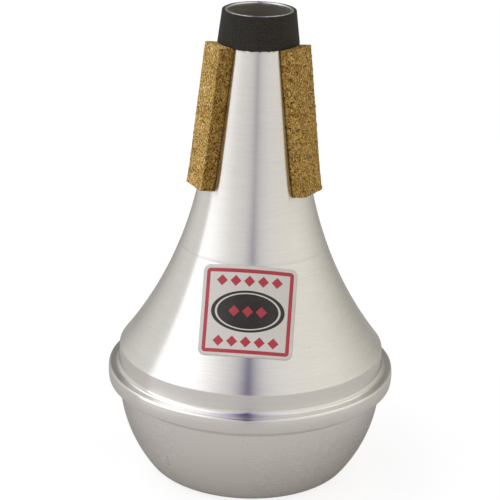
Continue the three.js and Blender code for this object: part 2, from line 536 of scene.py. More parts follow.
@dataclass(frozen=True)
class Rubber(Finish):
    """Black rubber with a fine grain, a little dust and lint."""

    hollow: tuple = shade(26, 24, 20)
    tone: tuple = shade(52, 48, 41)
    bloomed: tuple = shade(64, 60, 54)
    lint: tuple = shade(112, 108, 100)
    grain_scale: float = 2100.0
    grain_depth: float = 0.05 * MM
    bloom_scale: float = 110.0
    lint_spacing: float = 1.6 * MM
    lint_size: float = 0.16
    lint_share: float = 0.05

    def dress(self, paint: Paint) -> None:
        """Feeds the shader with grain, bloom and specks.

        Args:
            paint: The material in the making.
        """
        grain = paint.noise(paint.place, self.grain_scale, 2.0, 0.6)
        bloom = paint.shared(paint.effects.smudges, Scale=self.bloom_scale)["Mask"]
        spread = {"Spacing": self.lint_spacing, "Size": self.lint_size, "Share": self.lint_share}
        lint = paint.shared(paint.effects.specks, **spread)["Mask"]
        layers = (
            (paint.ramp(grain, 0.35, 0.65), self.tone),
            (bloom * 0.2, self.bloomed),
            (lint * 0.6, self.lint),
        )
        paint.fill(grain, self.grain_depth, {
            "Base Color": paint.layered(self.hollow, *layers),
            "Roughness": grain * 0.2 + self.roughness,
            "Specular IOR Level": 0.35,
        })


@dataclass(frozen=True)
class Cork(Finish):
    """Pressed cork: tan granules of mixed size with dark bark specks and open pits."""

    granule: float = 0.33 * MM
    light: tuple = shade(250, 212, 128)
    middle: tuple = shade(219, 174, 84)
    dark: tuple = shade(134, 91, 28)
    bark: tuple = shade(46, 27, 8)
    patch: tuple = (0.78, 0.68, 0.52)
    pale: tuple = shade(250, 226, 162)
    # How much warmer the painted shade gets: the powers of the cut factor taken for green and blue.
    painted_shade_warmth: tuple[float, float] = (1.15, 1.6)
    upright: tuple = (1.0, 1.0, 0.72)
    wander: float = 0.4 * MM
    wander_scale: float = 1600.0
    crumbs_to_grain: float = 1.8
    patch_scale: float = 190.0
    pit_scale: float = 5200.0
    bark_share: float = 0.07
    crumb_share: float = 0.085
    pale_share: float = 0.07
    pit_depth: float = 0.13 * MM

    def dress(self, paint: Paint) -> None:
        """Feeds the shader with granules, crumbs, dark bark, pale bits and the gaps between them.

        Args:
            paint: The material in the making.
        """
        place = paint.place
        inputs = {"Vector": place, "Scale": self.wander_scale, "Detail": 2.0}
        pushes = paint.wire("ShaderNodeTexNoise", inputs, "Color")
        bent = place * self.upright + (pushes - (0.5, 0.5, 0.5)) * self.wander
        _, grains = paint.cells(bent, 1 / self.granule)
        _, crumbs = paint.cells(bent, self.crumbs_to_grain / self.granule)
        gap, _ = paint.cells(bent, 1 / self.granule, "DISTANCE_TO_EDGE")
        barky = paint.math("MAXIMUM", grains[2] < self.bark_share, crumbs[2] < self.crumb_share)
        tone = paint.layered(
            self.dark,
            (paint.ramp(grains[0], 0.1, 0.5), self.middle),
            (paint.ramp(grains[0], 0.5, 0.95), self.light),
            (paint.ramp(crumbs[1], 0.5, 0.95) * 0.6, self.light),
            (paint.ramp(crumbs[1], 0.45, 0.05) * 0.6, self.dark),
            (paint.ramp(gap, 0.0, 0.14, 0.42, 0.0), self.bark),
        )
        brown = paint.ramp(paint.noise(place, self.patch_scale, 3.0, 0.6), 0.48, 0.68, 0.0, 0.8)
        tone = paint.layered(
            tone,
            (brown, tone * self.patch),
            (barky * 0.9, self.bark),
            ((grains[2] > 1 - self.pale_share) * 0.8, self.pale),
        )
        # The cut attribute is painted light and shade: a factor on the colour for each face of each strip,
        # from how the light falls on it. Its powers warm the painted shade.
        cut = paint.wire("ShaderNodeAttribute", output="Fac", attribute_name="cut")
        # Darker near the metal: there the colour goes towards the bark colour.
        soaked = paint.wire("ShaderNodeAttribute", output="Fac", attribute_name="soaked")
        green, blue = (cut**power for power in self.painted_shade_warmth)
        height = barky * -0.5 + paint.ramp(gap, 0.0, 0.25) * 0.5
        paint.fill(paint.noise(place, self.pit_scale, 2.0) * 0.35 + height, self.pit_depth, {
            "Base Color": paint.layered(tone * paint.joined(cut, green, blue), (soaked * 0.3, self.bark)),
            "Roughness": grains[1] * -0.1 + self.roughness,
            "Specular IOR Level": 0.12,
        })


@dataclass(frozen=True)
class Glue(Finish):
    """Dried contact glue, amber and glossy in places."""

    thick: tuple = shade(66, 44, 20)
    thin: tuple = shade(112, 80, 42)
    lump_scale: float = 700.0
    lump_depth: float = 0.1 * MM

    def dress(self, paint: Paint) -> None:
        """Feeds the shader with uneven amber.

        Args:
            paint: The material in the making.
        """
        lumps = paint.noise(paint.place, self.lump_scale, 3.0, 0.6)
        paint.fill(lumps, self.lump_depth, {
            "Base Color": paint.layered(self.thick, (paint.ramp(lumps, 0.35, 0.65), self.thin)),
            "Roughness": lumps * 0.3 + self.roughness,
        })


@dataclass(frozen=True)
class PrintedFilm(Finish):
    """The label's print: a plain cartouche, rows of lozenges and a keyline, on its own UV map.

    The UV map holds millimetres from the label's centre, and the print's sizes are in them too.
    """

    width: float = 33.0
    height: float = 32.0
    corner: float = 2.5
    paper: tuple = shade(228, 225, 219)
    red: tuple = shade(190, 58, 74)
    black: tuple = shade(38, 35, 33)
    scuffed: tuple = shade(176, 168, 156)
    worn_through: tuple = shade(120, 112, 106)
    keyline_inset: float = 1.9
    keyline_width: float = 1.3
    cartouche: tuple[float, float] = (12.9, 7.3)
    ring_inset: float = 1.0
    ring_width: float = 0.4
    lozenge: float = 1.95
    lozenge_spacing: float = 4.8
    lozenge_reach: float = 12.0
    row_height: float = 10.6
    ink_edge: float = 0.07
    ink_depth: float = 0.012 * MM
    scuff_scale: float = 90.0
    weave_scale: float = 4200.0

    def dress(self, paint: Paint) -> None:
        """Feeds the shader with the print and its wear.

        Args:
            paint: The material in the making.
        """
        x, y, _ = paint.parts(paint.wire("ShaderNodeUVMap", uv_map="label"))
        edge = self._border_distance(paint, x, y)
        oval = self._oval_distance(paint, x, y)
        rows = self._lozenge_distance(paint, x, y, self.row_height, self.lozenge_reach)
        heart = self._lozenge_distance(paint, x, y, 0.0, self.lozenge_spacing * 1.5)
        keyline = abs(edge + self.keyline_inset) - self.keyline_width / 2
        ring = abs(oval + self.ring_inset) - self.ring_width / 2
        red = paint.math("MAXIMUM", self._inked(paint, keyline), self._inked(paint, rows))
        disc = self._inked(paint, oval)
        ink = paint.math("MAXIMUM", red, disc)
        scuff = paint.shared(paint.effects.smudges, Scale=self.scuff_scale)["Mask"]
        weave = paint.noise(paint.place, self.weave_scale, 2.0, 0.7)
        layers = (
            (red, self.red),
            (disc, self.black),
            (self._inked(paint, ring), self.paper),
            (self._inked(paint, heart), self.red),
            (scuff * paint.ramp(edge, -1.2, 0.0, 0.06, 0.4), self.scuffed),
            (paint.ramp(weave, 0.5, 0.85) * 0.16, self.worn_through),
        )
        paint.fill(weave * 0.25 + ink, self.ink_depth, {
            "Base Color": paint.layered(self.paper, *layers),
            "Roughness": scuff * 0.15 + (ink * -0.06 + self.roughness),
        })

    def _inked(self, paint: Paint, distance: Wire) -> Wire:
        """1 inside a shape and 0 outside, from the distance to its edge."""
        return paint.ramp(distance, -self.ink_edge, self.ink_edge, 1.0, 0.0)

    def _border_distance(self, paint: Paint, x: Wire, y: Wire) -> Wire:
        """Distance to the label's rounded border.

        Args:
            paint: The material's kit.
            x: Millimetres across.
            y: Millimetres up.

        Returns:
            The distance, below zero inside.
        """
        across = abs(x) - (self.width / 2 - self.corner)
        up = abs(y) - (self.height / 2 - self.corner)
        outside = paint.joined(paint.math("MAXIMUM", across, 0.0), paint.math("MAXIMUM", up, 0.0))
        inside = paint.math("MINIMUM", paint.math("MAXIMUM", across, up), 0.0)
        return paint.math("LENGTH", outside) + inside - self.corner

    def _oval_distance(self, paint: Paint, x: Wire, y: Wire) -> Wire:
        """About the distance to the cartouche's edge, below zero inside."""
        half_width, half_height = self.cartouche
        return (paint.math("LENGTH", paint.joined(x / half_width, y / half_height)) - 1.0) * half_height

    def _lozenge_distance(self, paint: Paint, x: Wire, y: Wire, row: float, reach: float) -> Wire:
        """Distance to the nearest lozenge in the rows at plus and minus a height.

        Args:
            paint: The material's kit.
            x: Millimetres across.
            y: Millimetres up.
            row: The rows' height above and below the centre.
            reach: How far across the rows go.

        Returns:
            The distance, below zero inside a lozenge.
        """
        cell = paint.math("FLOORED_MODULO", x + self.lozenge_spacing / 2, self.lozenge_spacing)
        across, up = abs(cell - self.lozenge_spacing / 2), abs(abs(y) - row)
        return paint.math("MAXIMUM", across + up - self.lozenge, abs(x) - reach)


def cleared(holder: bpy.types.Material | bpy.types.World) -> bpy.types.NodeTree:
    """The node tree of a new material or world, emptied."""
    holder.use_nodes = True
    holder.node_tree.nodes.clear()
    return holder.node_tree


def new_object(name: str, data: bpy.types.ID) -> bpy.types.Object:
    """A new object in the scene."""
    made = bpy.data.objects.new(name, data)
    bpy.context.scene.collection.objects.link(made)
    return made


def new_mesh(name: str, points: list, edges: list, faces: list, **marks: np.ndarray) -> bpy.types.Mesh:
    """A mesh from its points.

    Args:
        name: The mesh's name.
        points: Each point's X, Y and Z.
        edges: Pairs of points that no face joins.
        faces: Each face's points.
        **marks: Attributes, with a number for each point.

    Returns:
        The mesh.
    """
    mesh = bpy.data.meshes.new(name)
    mesh.from_pydata(points, edges, faces)
    for label, values in marks.items():
        mesh.attributes.new(label, "FLOAT", "POINT").data.foreach_set("value", values)
    return mesh


class ShapeTree(Kit):
    """A geometry node tree with named inputs, run on a mesh and left as a plain mesh."""

    name = "shape"
    takes: dict[str, str] = {}

    def __init__(self) -> None:
        """Builds the tree, with its inputs from the names and kinds in takes."""
        super().__init__(bpy.data.node_groups.new(self.name, "GeometryNodeTree"))
        face = self.tree.interface
        self.identifiers = {}
        for label, kind in {"Geometry": "Geometry", **self.takes}.items():
            socket = face.new_socket(label, in_out="INPUT", socket_type="NodeSocket" + kind)
            self.identifiers[label] = socket.identifier
        face.new_socket("Geometry", in_out="OUTPUT", socket_type="NodeSocketGeometry")
        start = self.node("NodeGroupInput")
        self.given = {label: Wire(self, start.outputs[label]) for label in self.identifiers}
        self.build()

    def build(self) -> None:
        """Adds the tree's own nodes."""
        raise NotImplementedError

    def attribute(self, name: str) -> Wire:
        """A named number of the mesh's points."""
        return self.wire("GeometryNodeInputNamedAttribute", {"Name": name}, "Attribute", data_type="FLOAT")

    def seeded_place(self) -> Wire:
        """The point, moved by the seed, so that each piece has its own pattern."""
        seed = self.given["Seed"]
        return self.wire("GeometryNodeInputPosition") + self.joined(seed, seed, seed)

    def ended(self, mesh: Wire, linings: bool = False) -> None:
        """Ends the tree: instances are made real and the materials are set.

        Args:
            mesh: The finished geometry.
            linings: True sets a second material where the lining mark is high.
        """
        mesh = self.wire("GeometryNodeRealizeInstances", {"Geometry": mesh})
        mesh = self.wire("GeometryNodeSetShadeSmooth", {0: mesh})
        mesh = self.wire("GeometryNodeSetMaterial", {"Geometry": mesh, "Material": self.given["Material"]})
        if linings:
            chosen = self.attribute("lining") > 0.75
            inputs = {"Geometry": mesh, "Selection": chosen, "Material": self.given["Lining"]}
            mesh = self.wire("GeometryNodeSetMaterial", inputs)
        self.node("NodeGroupOutput", {0: mesh})

    def grown(self, name: str, mesh: bpy.types.Mesh, **values: Value) -> bpy.types.Object:
        """Runs the tree on a mesh.

        Args:
            name: The piece's name.
            mesh: The mesh that goes in.
            **values: The tree's inputs by name.

        Returns:
            A plain object that holds the result.
        """
        carrier = new_object(name + "_start", mesh)
        modifier = carrier.modifiers.new("shape", "NODES")
        modifier.node_group = self.tree
        for label, value in values.items():
            modifier[self.identifiers[label]] = value
        graph = bpy.context.evaluated_depsgraph_get()
        made = bpy.data.meshes.new_from_object(carrier.evaluated_get(graph), depsgraph=graph)
        made.name = name
        bpy.data.objects.remove(carrier)
        return new_object(name, made)


class TurningTree(ShapeTree):
    """Turns a closed line of radius and height about Z, and can make its edges uneven."""

    name = "turned_shape"
    takes = {
        "Steps": "Int",
        "Uneven": "Float",
        "Scale": "Float",
        "Seed": "Float",
        "Material": "Material",
        "Lining": "Material",
    }

    def build(self) -> None:
        """Bends a grid round the axis, one column of it for each step of the turn."""
        line, steps = self.given["Geometry"], self.given["Steps"]
        count = self.wire("GeometryNodeAttributeDomainSize", {0: line}, "Point Count")
        grid = self.wire("GeometryNodeMeshGrid", {"Vertices X": steps + 1.0, "Vertices Y": count})
        index = self.wire("GeometryNodeInputIndex")
        turn = self.math("FLOOR", (index + 0.5) / count)
        station = index - turn * count

        def read(value: Wire, kind: str = "FLOAT") -> Wire:
            """What the line has at the station."""
            inputs = {"Geometry": line, "Value": value, "Index": station}
            return self.wire("GeometryNodeSampleIndex", inputs, "Value", data_type=kind, domain="POINT")

        radius, _, height = self.parts(read(self.wire("GeometryNodeInputPosition"), "FLOAT_VECTOR"))
        angle = turn / steps * math.tau
        across, along = self.math("SINE", angle) * radius, self.math("COSINE", angle) * radius
        round_it = self.joined(across, along, self.given["Seed"])
        jitter = self.noise(round_it, self.given["Scale"], 3.0, 0.6) - 0.5
        height = height + jitter * read(self.attribute("loose")) * self.given["Uneven"]
        inputs = {"Geometry": grid, "Name": "lining", "Value": read(self.attribute("lining"))}
        shell = self.wire("GeometryNodeStoreNamedAttribute", inputs)
        inputs = {"Geometry": shell, "Position": self.joined(along, across, height)}
        shell = self.wire("GeometryNodeSetPosition", inputs)
        shell = self.wire("GeometryNodeMergeByDistance", {"Geometry": shell, "Distance": TINY})
        self.ended(shell, linings=True)


class ReliefTree(ShapeTree):
    """Roughens a strip of pressed granules: each granule stands out a little, and edges crumble."""

    name = "pressed_relief"
    takes = {
        "Granule": "Float",
        "Relief": "Float",
        "Crumble": "Float",
        "Seed": "Float",
        "Material": "Material",
    }

    def build(self) -> None:
        """Moves each point inwards by its granule's height and its edge's wear."""
        place = self.seeded_place()
        scale = 1.0 / self.given["Granule"]
        distance, draws = self.cells(place, scale)
        sunk = (draws[0] * 0.6 + distance * 0.7) * self.given["Relief"]
        chips = self.ramp(self.noise(place, scale * 0.55, 3.0, 0.6), 0.5, 0.72)
        worn = chips * self.attribute("edge") * self.given["Crumble"]
        inward = self.wire("GeometryNodeInputNormal") * ((sunk + worn) * -1.0)
        inputs = {"Geometry": self.given["Geometry"], "Offset": inward}
        self.ended(self.wire("GeometryNodeSetPosition", inputs))


class BeadTree(ShapeTree):
    """Lays an uneven bead of glue along a closed line."""

    name = "glue_bead"
    takes = {"Radius": "Float", "Step": "Float", "Sides": "Int", "Seed": "Float", "Material": "Material"}

    def build(self) -> None:
        """Sweeps a circle whose radius wanders along the line."""
        curve = self.wire("GeometryNodeMeshToCurve", {0: self.given["Geometry"]})
        inputs = {"Curve": curve, "Length": self.given["Step"]}
        curve = self.wire("GeometryNodeResampleCurve", inputs, mode="LENGTH")
        size = self.ramp(self.noise(self.seeded_place(), 420.0, 2.0, 0.6), 0.3, 0.75, 0.35, 1.15)
        inputs = {"Resolution": self.given["Sides"], "Radius": self.given["Radius"]}
        ring = self.wire("GeometryNodeCurvePrimitiveCircle", inputs)
        inputs = {"Curve": curve, "Profile Curve": ring, "Scale": size}
        self.ended(self.wire("GeometryNodeCurveToMesh", inputs))


def toward(angle: float) -> np.ndarray:
    """One metre in a turned piece's section, at an angle up from straight out."""
    return np.array([math.cos(angle), math.sin(angle)])


@dataclass
class Mute:
    """The sizes that the pieces share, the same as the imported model's."""

    sheet_wall: float = 1.0 * MM
    fit_gap: float = 0.3 * MM
    lip_height: float = 34.1 * MM
    band_height: float = 5.6 * MM
    skirt_height: float = 7.4 * MM
    flare_height: float = 72.2 * MM
    neck_height: float = 52.5 * MM
    neck_taper: float = math.radians(7.1)
    rim_radius: float = 12.0 * MM
    shoulder_radius: float = 48.3 * MM
    flange_width: float = 4.2 * MM
    band_crown: float = 0.3 * MM
    sleeve_setback: float = 0.2 * MM
    sleeve_length: float = 11.5 * MM

    def __post_init__(self) -> None:
        """Works out the heights and the cone's line, straight first and then one arc."""
        self.flange_top = self.lip_height + self.band_height
        self.shoulder_height = self.flange_top + self.skirt_height
        self.neck_foot_height = self.shoulder_height + self.flare_height
        self.rim_height = self.neck_foot_height + self.neck_height
        self.neck_length = self.neck_height / math.cos(self.neck_taper)
        self.down = toward(self.neck_taper - math.pi / 2)
        self.out = toward(self.neck_taper)
        self.rim_corner = np.array([self.rim_radius, self.rim_height])
        self.neck_foot = self.rim_corner + self.down * self.neck_length
        chord = np.array([self.shoulder_radius, self.shoulder_height]) - self.neck_foot
        self.flare_radius = float(chord @ chord) / (2 * float(chord @ self.out))
        self.flare_centre = self.neck_foot + self.out * self.flare_radius
        sweep = 2 * math.atan2(float(chord @ self.out), float(chord @ self.down))
        self.foot_slope = self.neck_taper + sweep
        self.cone_length = self.neck_length + self.flare_radius * sweep
        self.skirt_inside = self.shoulder_radius - self.sheet_wall
        self.band_radius = self.shoulder_radius + self.flange_width
        self.band_edge_radius = self.band_radius - self.band_crown
        self.band_inside = self.band_edge_radius - self.sheet_wall
        self.hem_outside = self.band_inside - self.fit_gap
        self.hem_inside = self.hem_outside - self.sheet_wall

    def slope(self, distance: float) -> float:
        """How far the cone leans from the vertical at a distance down its line."""
        return self.neck_taper + max(distance - self.neck_length, 0.0) / self.flare_radius

    def cone_point(self, distance: float, offset: float) -> np.ndarray:
        """A point off the cone's outer line.

        Args:
            distance: How far down the line from the rim.
            offset: How far out from the metal.

        Returns:
            Its radius and height.
        """
        outward = toward(self.slope(distance))
        if distance <= self.neck_length:
            return self.rim_corner + self.down * distance + outward * offset
        return self.flare_centre + outward * (offset - self.flare_radius)

    def cone_line(self, start: float, end: float, offset: float, steps: int) -> Line:
        """A stretch of the cone's line as points, at an offset from the metal."""
        return [tuple(self.cone_point(s, offset)) for s in np.linspace(start, end, steps + 1)]


def marked(line: Line, lining: float = 0.0) -> list[tuple]:
    """A line's points as corners of an outline, without rounding or looseness."""
    return [(radius, height, 0, 0, lining) for radius, height in line]


def rounded(corners: list[tuple], steps: int = 6, share: float = 0.49) -> list[tuple]:
    """A closed outline with an arc at each corner that has a radius.

    Args:
        corners: Each corner's radius and height, how round it is, and its loose and lining marks.
        steps: How many steps an arc takes.
        share: How much of a side one arc can take up.

    Returns:
        The outline's points as radius, height, loose mark and lining mark.
    """
    points = []
    for place, (x, z, radius, loose, lining) in enumerate(corners):
        at = np.array([x, z])
        if radius == 0:
            points.append((x, z, loose, lining))
            continue
        before = np.array(corners[place - 1][:2]) - at
        after = np.array(corners[(place + 1) % len(corners)][:2]) - at
        room = share * min(np.linalg.norm(before), np.linalg.norm(after))
        before, after = before / np.linalg.norm(before), after / np.linalg.norm(after)
        half = math.acos(float(before @ after)) / 2
        tangent = min(radius / math.tan(half), room)
        radius = tangent * math.tan(half)
        centre = at + (before + after) / np.linalg.norm(before + after) * radius / math.sin(half)
        start, end = at + before * tangent - centre, at + after * tangent - centre
        first = math.atan2(start[1], start[0])
        sweep = math.atan2(start[0] * end[1] - start[1] * end[0], float(start @ end))
        for angle in np.linspace(first, first + sweep, steps + 1):
            points.append((*(centre + radius * toward(angle)), loose, lining))
    return points


@dataclass
class SubAssembly:
    """Pieces that go together on the mute."""

    mute: Mute
    effects: Effects
    pieces: list = field(default_factory=list)

    def keep(self, piece: bpy.types.Object, slot: Slot | None, *nodes: str) -> None:
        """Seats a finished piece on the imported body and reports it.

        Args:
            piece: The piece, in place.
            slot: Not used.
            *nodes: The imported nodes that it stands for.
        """
        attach(piece, "root")
        if nodes:
            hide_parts(*nodes)
        self.pieces.append(piece)
        LOG.info("%s: %d faces", piece.name, len(piece.data.polygons))


@dataclass
class TurnedParts(SubAssembly):
    """Pieces that are turned from an outline."""

    turning: TurningTree | None = None
    turn_steps: int = 216
    uneven: float = 0.0
    uneven_scale: float = 1.0
    seed: float = 0.0

    def turned(
        self, name: str, corners: list[tuple], outside: bpy.types.Material, lining: bpy.types.Material
    ) -> bpy.types.Object:
        """Turns one outline.

        Args:
            name: The piece's name.
            corners: The corners of its closed outline.
            outside: The material that shows.
            lining: The material of the inside.

        Returns:
            The piece.
        """
        points = rounded(corners)
        points.append(points[0])
        radii, heights, loose, linings = (list(map(float, column)) for column in zip(*points))
        places = [(radius, 0.0, height) for radius, height in zip(radii, heights)]
        edges = [(place, place + 1) for place in range(len(points) - 1)]
        line = new_mesh(name + "_line", places, edges, [], loose=loose, lining=linings)
        hand = {"Uneven": self.uneven, "Scale": self.uneven_scale, "Seed": self.seed}
        return self.turning.grown(
            name, line, Steps=self.turn_steps, Material=outside, Lining=lining, **hand
        )


@dataclass
class SpunShells(TurnedParts):
    """The cone and the bowl that its foot is rolled over."""

    neck_rings: int = 24
    flare_rings: int = 56
    rim_round: float = 0.38 * MM
    rim_swell: float = 0.1 * MM
    rim_lining: float = 0.4
    bright_rim: float = 0.9 * MM
    shoulder_round: float = 0.8 * MM
    flange_fillet: float = 1.6 * MM
    foot_fillet: float = 1.7 * MM
    polished_rise: float = 1.3 * MM
    band_round: float = 0.8 * MM
    crown_round: float = 12 * MM
    lip_round: float = 0.4 * MM
    side_clearance: float = 0.02 * MM
    scribe_distance: float = 86.9 * MM
    scribe_width: float = 0.3 * MM
    scribe_depth: float = 0.07 * MM
    bowl_arc_radius: float = 52.6 * MM
    bowl_knuckle_radius: float = 6.0 * MM
    bowl_rim_fillet: float = 1.0 * MM
    bowl_rings: int = 40
    knuckle_rings: int = 12
    flat_rings: int = 14

    def build(self) -> None:
        """Turns and dresses both shells."""
        mute = self.mute
        outside = SpunMetal(
            "spun_aluminium_finish",
            roughness=0.24,
            burnished=(mute.flange_top - self.band_round, mute.flange_top + self.polished_rise),
            # A ring of painted shade along the lip's lower edge, partly old polish.
            shade_and_polish_rings=(ShadeAndPolishRing(mute.lip_height, 0.4 * MM, 0.2),),
            marks=self._cone_marks(),
        )
        satin = SpunMetal(
            "satin_aluminium_finish",
            roughness=0.27,
            pitch=0.6 * MM,
            line_depth=0.0002 * MM,
            roughness_swing=0.01,
            anisotropy=0.75,
            tone=(0.88, 0.872, 0.852, 1.0),
            edge_tint=0.68,
            bands=0.012,
            streaks=0.012,
            pit_share=0.01,
            # A ring of painted shade on the bowl just under the lip, partly old polish.
            shade_and_polish_rings=(ShadeAndPolishRing(mute.lip_height - 2.2 * MM, 0.6 * MM, 0.25),),
            # Painted shade: the bowl's colour darkens towards its bottom, where it reflects the shaded
            # floor.
            low_shade_height=36 * MM,
            marks=self._bowl_marks(),
        )
        lining = DullMetal("dull_inside_finish", roughness=0.3).material(self.effects)
        cone = self.turned("spun_cone", self._cone_corners(), outside.material(self.effects), lining)
        self.keep(cone, Slot.SPUN, "body_shell")
        bowl = self.turned("spun_bowl", self._bowl_corners(), satin.material(self.effects), lining)
        self.keep(bowl, Slot.SATIN, "base_bowl")

    def _around(self, radius: float, height: float, heading: float) -> Point:
        """A point by radius, height and degrees from the front to the right."""
        turn = math.radians(heading)
        return radius * math.sin(turn), -radius * math.cos(turn), height

    def _cone_marks(self) -> tuple[Mark, ...]:
        """The dots on the flare, each by its heading and how far it lies down the cone."""
        spots = ((-28.8, 115.6 * MM), (33.8, 116.7 * MM))
        places = [self._around(*self.mute.cone_point(down, 0.0), heading) for heading, down in spots]
        return tuple(Mark(place, place) for place in places)

    def _bowl_marks(self) -> tuple[Mark, ...]:
        """A faint scratch and a dot on the bowl, by heading and by how far round its arc they lie."""
        def place(heading: float, fall: float) -> Point:
            """A point on the bowl's side."""
            at = self._bowl_centre() + self.bowl_arc_radius * toward(-math.radians(fall))
            return self._around(*at, heading)

        scratch = Mark(place(-37.0, 19.7), place(-38.0, 25.1), 0.4 * MM, 0.4)
        dot = Mark(place(-58.9, 18.2), place(-58.9, 18.2), 0.7 * MM, 0.6)
        return scratch, dot

    def _cone_corners(self) -> list[tuple]:
        """The cone's whole section, down its outside and back up its inside."""
        mute = self.mute
        flange_underside = mute.flange_top - mute.sheet_wall
        lip_inner_top = mute.lip_height + mute.sheet_wall
        inner_shoulder = mute.shoulder_height - mute.sheet_wall * math.tan(mute.foot_slope / 2)
        rim_inside = mute.rim_radius - mute.sheet_wall / math.cos(mute.neck_taper)
        edge = mute.band_edge_radius - self.side_clearance
        crown = mute.band_radius - self.side_clearance
        neck = mute.cone_line(0.0, mute.neck_length, 0.0, self.neck_rings)[1:]
        inside = mute.cone_line(mute.neck_length, mute.cone_length, -mute.sheet_wall, self.flare_rings)
        return [
            (mute.rim_radius + self.rim_swell, mute.rim_height, self.rim_round, 0, 0),
            *marked(neck + self._scribed_flare()),
            (mute.shoulder_radius, mute.shoulder_height, self.shoulder_round, 0, 0),
            (mute.shoulder_radius, mute.flange_top, self.foot_fillet, 0, 0),
            (edge, mute.flange_top, self.band_round, 0, 0),
            (crown, (mute.lip_height + mute.flange_top) / 2, self.crown_round, 0, 0),
            (edge, mute.lip_height, self.lip_round, 0, 0),
            (mute.hem_inside, mute.lip_height, 0, 0, 0),
            (mute.hem_inside, lip_inner_top, 0, 0, 1),
            (mute.band_inside, lip_inner_top, 0, 0, 1),
            (mute.band_inside, flange_underside, 0, 0, 1),
            (mute.skirt_inside, flange_underside, self.flange_fillet + mute.sheet_wall, 0, 1),
            (mute.skirt_inside, inner_shoulder, 0, 0, 1),
            *marked(inside[-2::-1], 1),
            (*mute.cone_point(self.bright_rim, -mute.sheet_wall), 0, 0, 1),
            (rim_inside, mute.rim_height, self.rim_round, 0, self.rim_lining),
        ]

    def _scribed_flare(self) -> Line:
        """The flare's line from the neck to just above the shoulder, with one fine scribed ring."""
        mute, width = self.mute, self.scribe_width
        stops = np.linspace(mute.neck_length, mute.cone_length, self.flare_rings + 1)[1:-1]
        plain = [(s, 0.0) for s in stops if abs(s - self.scribe_distance) >= width]
        cut = [(self.scribe_distance + side * width / 2, 0.0) for side in (-1, 1)]
        stations = sorted([*plain, *cut, (self.scribe_distance, -self.scribe_depth)])
        return [tuple(mute.cone_point(s, offset)) for s, offset in stations]

    def _bowl_centre(self) -> np.ndarray:
        """The radius and height of the bowl arc's centre."""
        return np.array([self.mute.shoulder_radius - self.bowl_arc_radius, self.mute.lip_height])

    def _bowl_line(self, inset: float) -> Line:
        """The bowl's line from the axis to its mouth.

        Args:
            inset: How far inside the metal's outer face it lies.

        Returns:
            The points, on the flat, round the knuckle and up the side.
        """
        def arc(centre: np.ndarray, radius: float, start: float, end: float, rings: int) -> Line:
            """An arc by its falls in radians, without its last point."""
            falls = np.linspace(start, end, rings + 1)[:-1]
            return [tuple(centre + (radius - inset) * toward(-fall)) for fall in falls]

        centre = self._bowl_centre()
        reach = self.bowl_arc_radius - self.bowl_knuckle_radius
        turn = math.asin((self.mute.lip_height - self.bowl_knuckle_radius) / reach)
        knuckle = centre + reach * toward(-turn)
        flat = [(r, inset) for r in np.linspace(0, 1, self.flat_rings)[:-1] * knuckle[0]]
        bent = arc(knuckle, self.bowl_knuckle_radius, math.pi / 2, turn, self.knuckle_rings)
        return flat + bent + arc(centre, self.bowl_arc_radius, turn, 0, self.bowl_rings)

    def _bowl_corners(self) -> list[tuple]:
        """The bowl's whole section, down its outside to the axis and up its inside."""
        mute = self.mute
        rim_top = mute.flange_top - mute.sheet_wall - mute.fit_gap
        hem_foot = mute.lip_height + mute.sheet_wall + mute.fit_gap
        return [
            (mute.hem_inside, hem_foot, 0, 0, 1),
            (mute.hem_inside, rim_top - mute.sheet_wall, 0, 0, 1),
            (mute.shoulder_radius, rim_top - mute.sheet_wall, self.bowl_rim_fillet, 0, 0),
            (mute.shoulder_radius, mute.lip_height, 0, 0, 0),
            *marked(self._bowl_line(0.0)[::-1]),
            *marked(self._bowl_line(mute.sheet_wall), 1),
            (mute.skirt_inside, mute.lip_height, 0, 0, 1),
            (mute.skirt_inside, rim_top, self.bowl_rim_fillet + mute.sheet_wall, 0, 1),
            (mute.hem_outside, rim_top, self.band_round, 0, 1),
            (mute.hem_outside, hem_foot, 0, 0, 1),
        ]


@dataclass
class EndSleeve(TurnedParts):
    """The rubber sleeve round the small end, with its hand-cut lower edge."""

    turn_steps: int = 432
    uneven: float = 2.4 * MM
    uneven_scale: float = 1700.0
    seed: float = 3.7
    wall: float = 0.65 * MM
    edge_round: float = 0.3 * MM
    cut_round: float = 0.12 * MM
    top_looseness: float = 0.15
    seat: float = 0.02 * MM
    rise: float = 0.13 * MM
    hang: float = 0.13 * MM
    rings: int = 12

    def build(self) -> None:
        """Turns and dresses the sleeve."""
        mute = self.mute
        start = mute.sleeve_setback - self.rise
        end = mute.sleeve_setback + mute.sleeve_length + self.hang
        outer = mute.fit_gap + self.wall
        outside = mute.cone_line(start + outer * math.tan(mute.neck_taper), end, outer, self.rings)
        inner_top, inner_foot = mute.cone_line(start, end, -self.seat, 1)
        corners = [
            (*outside[0], self.edge_round, self.top_looseness, 0),
            *marked(outside[1:-1]),
            (*outside[-1], self.cut_round, 1, 0),
            (*inner_foot, 0, 1, 0),
            (*inner_top, 0, self.top_looseness, 0),
        ]
        rubber = Rubber("black_rubber_finish", roughness=0.62).material(self.effects)
        self.keep(self.turned("rubber_sleeve", corners, rubber, rubber), Slot.RUBBER, "end_sleeve")


@dataclass(frozen=True)
class Strip:
    """One cork strip: where it sits, how it was laid and cut by hand, and the painted light and shade on
    its faces.

    Attributes:
        node: The CAD node that it dresses.
        degrees: Its place round the mute, from the front.
        slide: How much lower than planned it was glued on.
        extra: How much longer than planned it was cut.
        face: Painted light and shade on its face and lower end, as a factor on the cork's colour.
        side: Painted shade on its long sides, as a factor on the cork's colour.
        top: Painted light and shade on its upper end, as a factor on the cork's colour.
    """

    node: str
    degrees: float
    slide: float
    extra: float
    face: float
    side: float
    top: float


